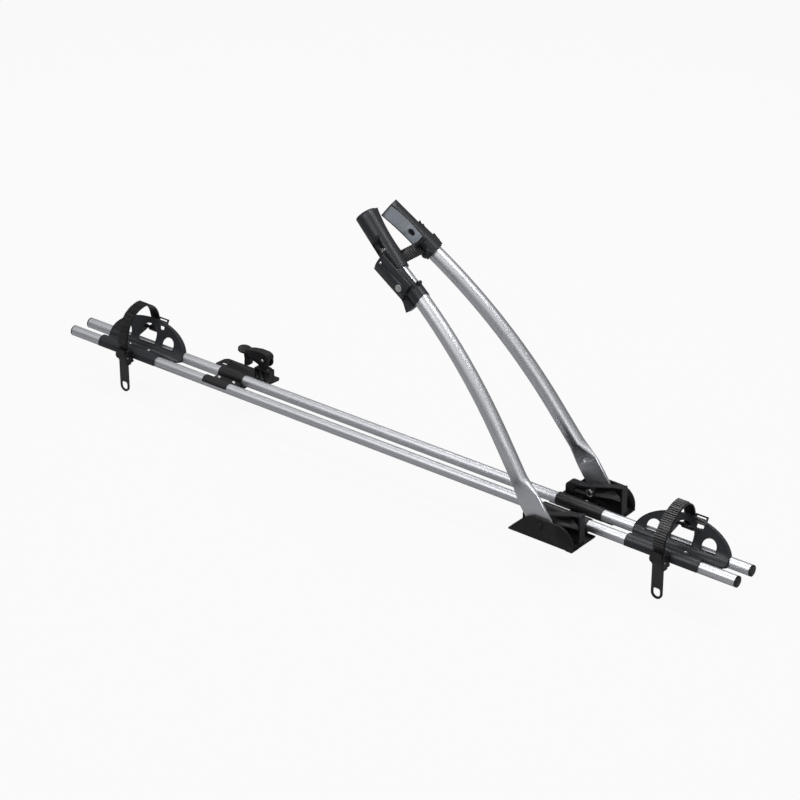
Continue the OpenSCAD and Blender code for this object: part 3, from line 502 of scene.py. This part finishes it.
def rib_line(loop, centre):
    p = loop + END
    curve = [spline_point(p, i, k / STEPS) for i in range(len(p) - 1) for k in range(STEPS)]
    line = []
    for i in range(FIRST_RIB, LAST_RIB):
        way = (curve[i + 1] - curve[i - 1]).normalized()
        out = curve[i] - (STRAP_T / 2 + RIB_H) * Vector((-way.y, way.x))
        line.append((centre * MM, out.x * MM, (out.y + RAIL_Z) * MM))
    return line


# %% Ribs on both straps
RIB_PITCH = 4.1 * MM
RIB_WIDTH = 21.4 * MM
RIB_R = 1.25 * MM
for end, (centre, body) in HOLDERS.items():
    line = rib_line(LOOPS[end], centre)
    sizes = {"Pitch": RIB_PITCH, "Width": RIB_WIDTH, "Radius": RIB_R,
             "Material": finish_of["strap_plastic"]}
    edges = [(i, i + 1) for i in range(len(line) - 1)]
    ribs = run_tree(end + "_strap_ribs", rib_tree, sizes, line, edges)
    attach(ribs, body)
    print(ribs.name, len(ribs.data.polygons))

# %% [markdown]
# ## Beads along the moulded edges
# The half-round wings have a rounded rim, and so do their arched openings. A polyline follows
# each edge, and the tree turns it into a curve and sweeps a small circle along it.

# %% The bead tree
BEAD_SIDES = 8
bead_tree, g = new_tree("edge_bead", [("Radius", FLOAT), ("Material", MATERIAL)])
path = g.node("GeometryNodeMeshToCurve", None, {"Mesh": group_input(g, "Geometry")})
ring = g.node("GeometryNodeCurvePrimitiveCircle", None,
              {"Resolution": BEAD_SIDES, "Radius": group_input(g, "Radius")})
bead = g.node("GeometryNodeCurveToMesh", None,
              {"Curve": path, "Profile Curve": ring, "Fill Caps": True})
bead = g.node("GeometryNodeSetShadeSmooth", None, {"Geometry": bead})
bead = g.node("GeometryNodeRealizeInstances", None, {"Geometry": bead})
bead = g.node("GeometryNodeSetMaterial", None,
              {"Geometry": bead, "Material": group_input(g, "Material")})
g.node("NodeGroupOutput", None, {"Geometry": bead})
print("bead tree nodes:", len(bead_tree.nodes))

# %% [markdown]
# ## The wing's own plane
# Each wing leans outwards, so its outline is written flat, as a distance along the rails and a
# height up the wing, and then laid on the leaning plane.

# %% Outlines on the wing
WING_LEAN = math.radians(25)
WING_FOOT = (10.0, RAIL_Z - 2)
WING_HALF = 94.0
WING_H = 59.0
WING_SIDE = 3.0
WING_OFF = 6.0
RIM_STEPS = 36
ARCH_STEPS = 15


def on_wing(x, v, centre):
    return ((centre + x) * MM, (WING_FOOT[0] + v * math.sin(WING_LEAN)) * MM,
            (WING_FOOT[1] + v * math.cos(WING_LEAN)) * MM)


def wing_rim(inset):
    turns = [math.radians(180 - 180 / RIM_STEPS * i) for i in range(RIM_STEPS + 1)]
    reach = WING_HALF - inset
    rise = WING_H - WING_SIDE - inset
    return [(WING_OFF + reach * math.cos(t), WING_SIDE + rise * math.sin(t)) for t in turns]


def arch(x0, x1, v0, v1):
    r = (x1 - x0) / 2
    turns = [math.radians(180 / ARCH_STEPS * i) for i in range(ARCH_STEPS + 1)]
    top = [(x0 + r - r * math.cos(t), v1 - r + r * math.sin(t)) for t in turns]
    return [(x0, v0)] + top + [(x1, v0)]


# %% Beads on both wheel holders
ARCHES = [(-66, -36, 12, 34), (-18, 26, 12, 49), (42, 72, 12, 35)]
RIM_INSET = 0.4
BEAD_R = 0.9 * MM
for end, (centre, body) in HOLDERS.items():
    points, edges = [], []
    for outline, closed in [(wing_rim(RIM_INSET), False)] + [(arch(*a), True) for a in ARCHES]:
        first = len(points)
        points += [on_wing(x, v, centre) for x, v in outline]
        edges += [(first + i, first + i + 1) for i in range(len(outline) - 1)]
        if closed:
            edges.append((len(points) - 1, first))
    sizes = {"Radius": BEAD_R, "Material": charcoal}
    piece = run_tree(end + "_wing_bead", bead_tree, sizes, points, edges)
    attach(piece, body)
    print(piece.name, len(piece.data.polygons))

# %% [markdown]
# ## The studio
# The photograph has a white ground and even light from above. A pale floor lies just under the
# strap tails. The camera sees it almost white, while it still takes the carrier's shadow. Large
# soft lamps give the tubes one broad highlight, and the world is brighter overhead than below.

# %% Floor
FLOOR_GAP = 1.5 * MM
FLOOR_Z = cad_box[0][2] - FLOOR_GAP
FLOOR_HALF = 14.0
FLOOR_GREY = (0.34, 0.34, 0.345, 1)
WHITE = (1, 1, 1, 1)
WHITE_SHARE = 0.93
floor_mesh = bpy.data.meshes.new("floor")
corners = [(-1, -1), (1, -1), (1, 1), (-1, 1)]
places = [(FLOOR_HALF * x, FLOOR_HALF * y, FLOOR_Z) for x, y in corners]
floor_mesh.from_pydata(places, [], [(0, 1, 2, 3)])
floor = bpy.data.objects.new("floor", floor_mesh)
scene.collection.objects.link(floor)
floor_paint, g = new_graph("pale_floor")
matt = g.node("ShaderNodeBsdfDiffuse", None, {"Color": FLOOR_GREY})
glow = g.node("ShaderNodeEmission", None, {"Color": WHITE, "Strength": 1.0})
seen = g.node("ShaderNodeLightPath", out="Is Camera Ray")
mixed = g.node("ShaderNodeMixShader", None, {0: seen * WHITE_SHARE, 1: matt, 2: glow})
g.node("ShaderNodeOutputMaterial", None, {"Surface": mixed})
floor_mesh.materials.append(floor_paint)
print("floor at", round(FLOOR_Z, 4))

# %% World
SKY_STOPS = [(0.0, 0.04), (0.5, 0.10), (0.72, 0.4), (1.0, 0.85)]
SKY_STRENGTH = 0.7
world = bpy.data.worlds.new("studio")
scene.world = world
world.use_nodes = True
g = Graph(world.node_tree)
way = g.node("ShaderNodeTexCoord", out="Generated")
height = g.node("ShaderNodeSeparateXYZ", None, {0: way}, "Z")
tone = g.ramp(height * 0.5 + 0.5, SKY_STOPS)
soft = g.node("ShaderNodeBackground", None, {"Color": tone, "Strength": SKY_STRENGTH})
plain = g.node("ShaderNodeBackground", None, {"Color": WHITE, "Strength": 1.0})
seen = g.node("ShaderNodeLightPath", out="Is Camera Ray")
mixed = g.node("ShaderNodeMixShader", None, {0: seen, 1: soft, 2: plain})
g.node("ShaderNodeOutputWorld", None, {"Surface": mixed})
print("world:", world.name)

# %% [markdown]
# ## Lamps
# Each lamp is a soft rectangle aimed at the middle of the carrier. The table gives its place,
# its two sides and its power: a key lamp from the front left, a long strip above the rails and
# a weak fill from the right.

# %% Place the lamps
LAMPS = {"key": ((-1.2, -2.6, 3.4), 2.2, 1.6, 80.0),
         "strip": ((-0.2, 0.9, 2.8), 3.2, 0.5, 55.0),
         "fill": ((2.8, -1.6, 1.6), 1.6, 1.6, 22.0)}
AIM = Vector((-0.35, 0.0, 0.1))
for name, (place, wide, deep, power) in LAMPS.items():
    lamp = bpy.data.lights.new(name, "AREA")
    lamp.shape = "RECTANGLE"
    lamp.size = wide
    lamp.size_y = deep
    lamp.energy = power
    holder = bpy.data.objects.new(name, lamp)
    holder.location = place
    holder.rotation_euler = (AIM - Vector(place)).to_track_quat("-Z", "Y").to_euler()
    scene.collection.objects.link(holder)
print("lamps:", len(LAMPS))

# %% [markdown]
# ## Finish
# The dressed carrier must stay the size of the solids.


print("carrier dressed")
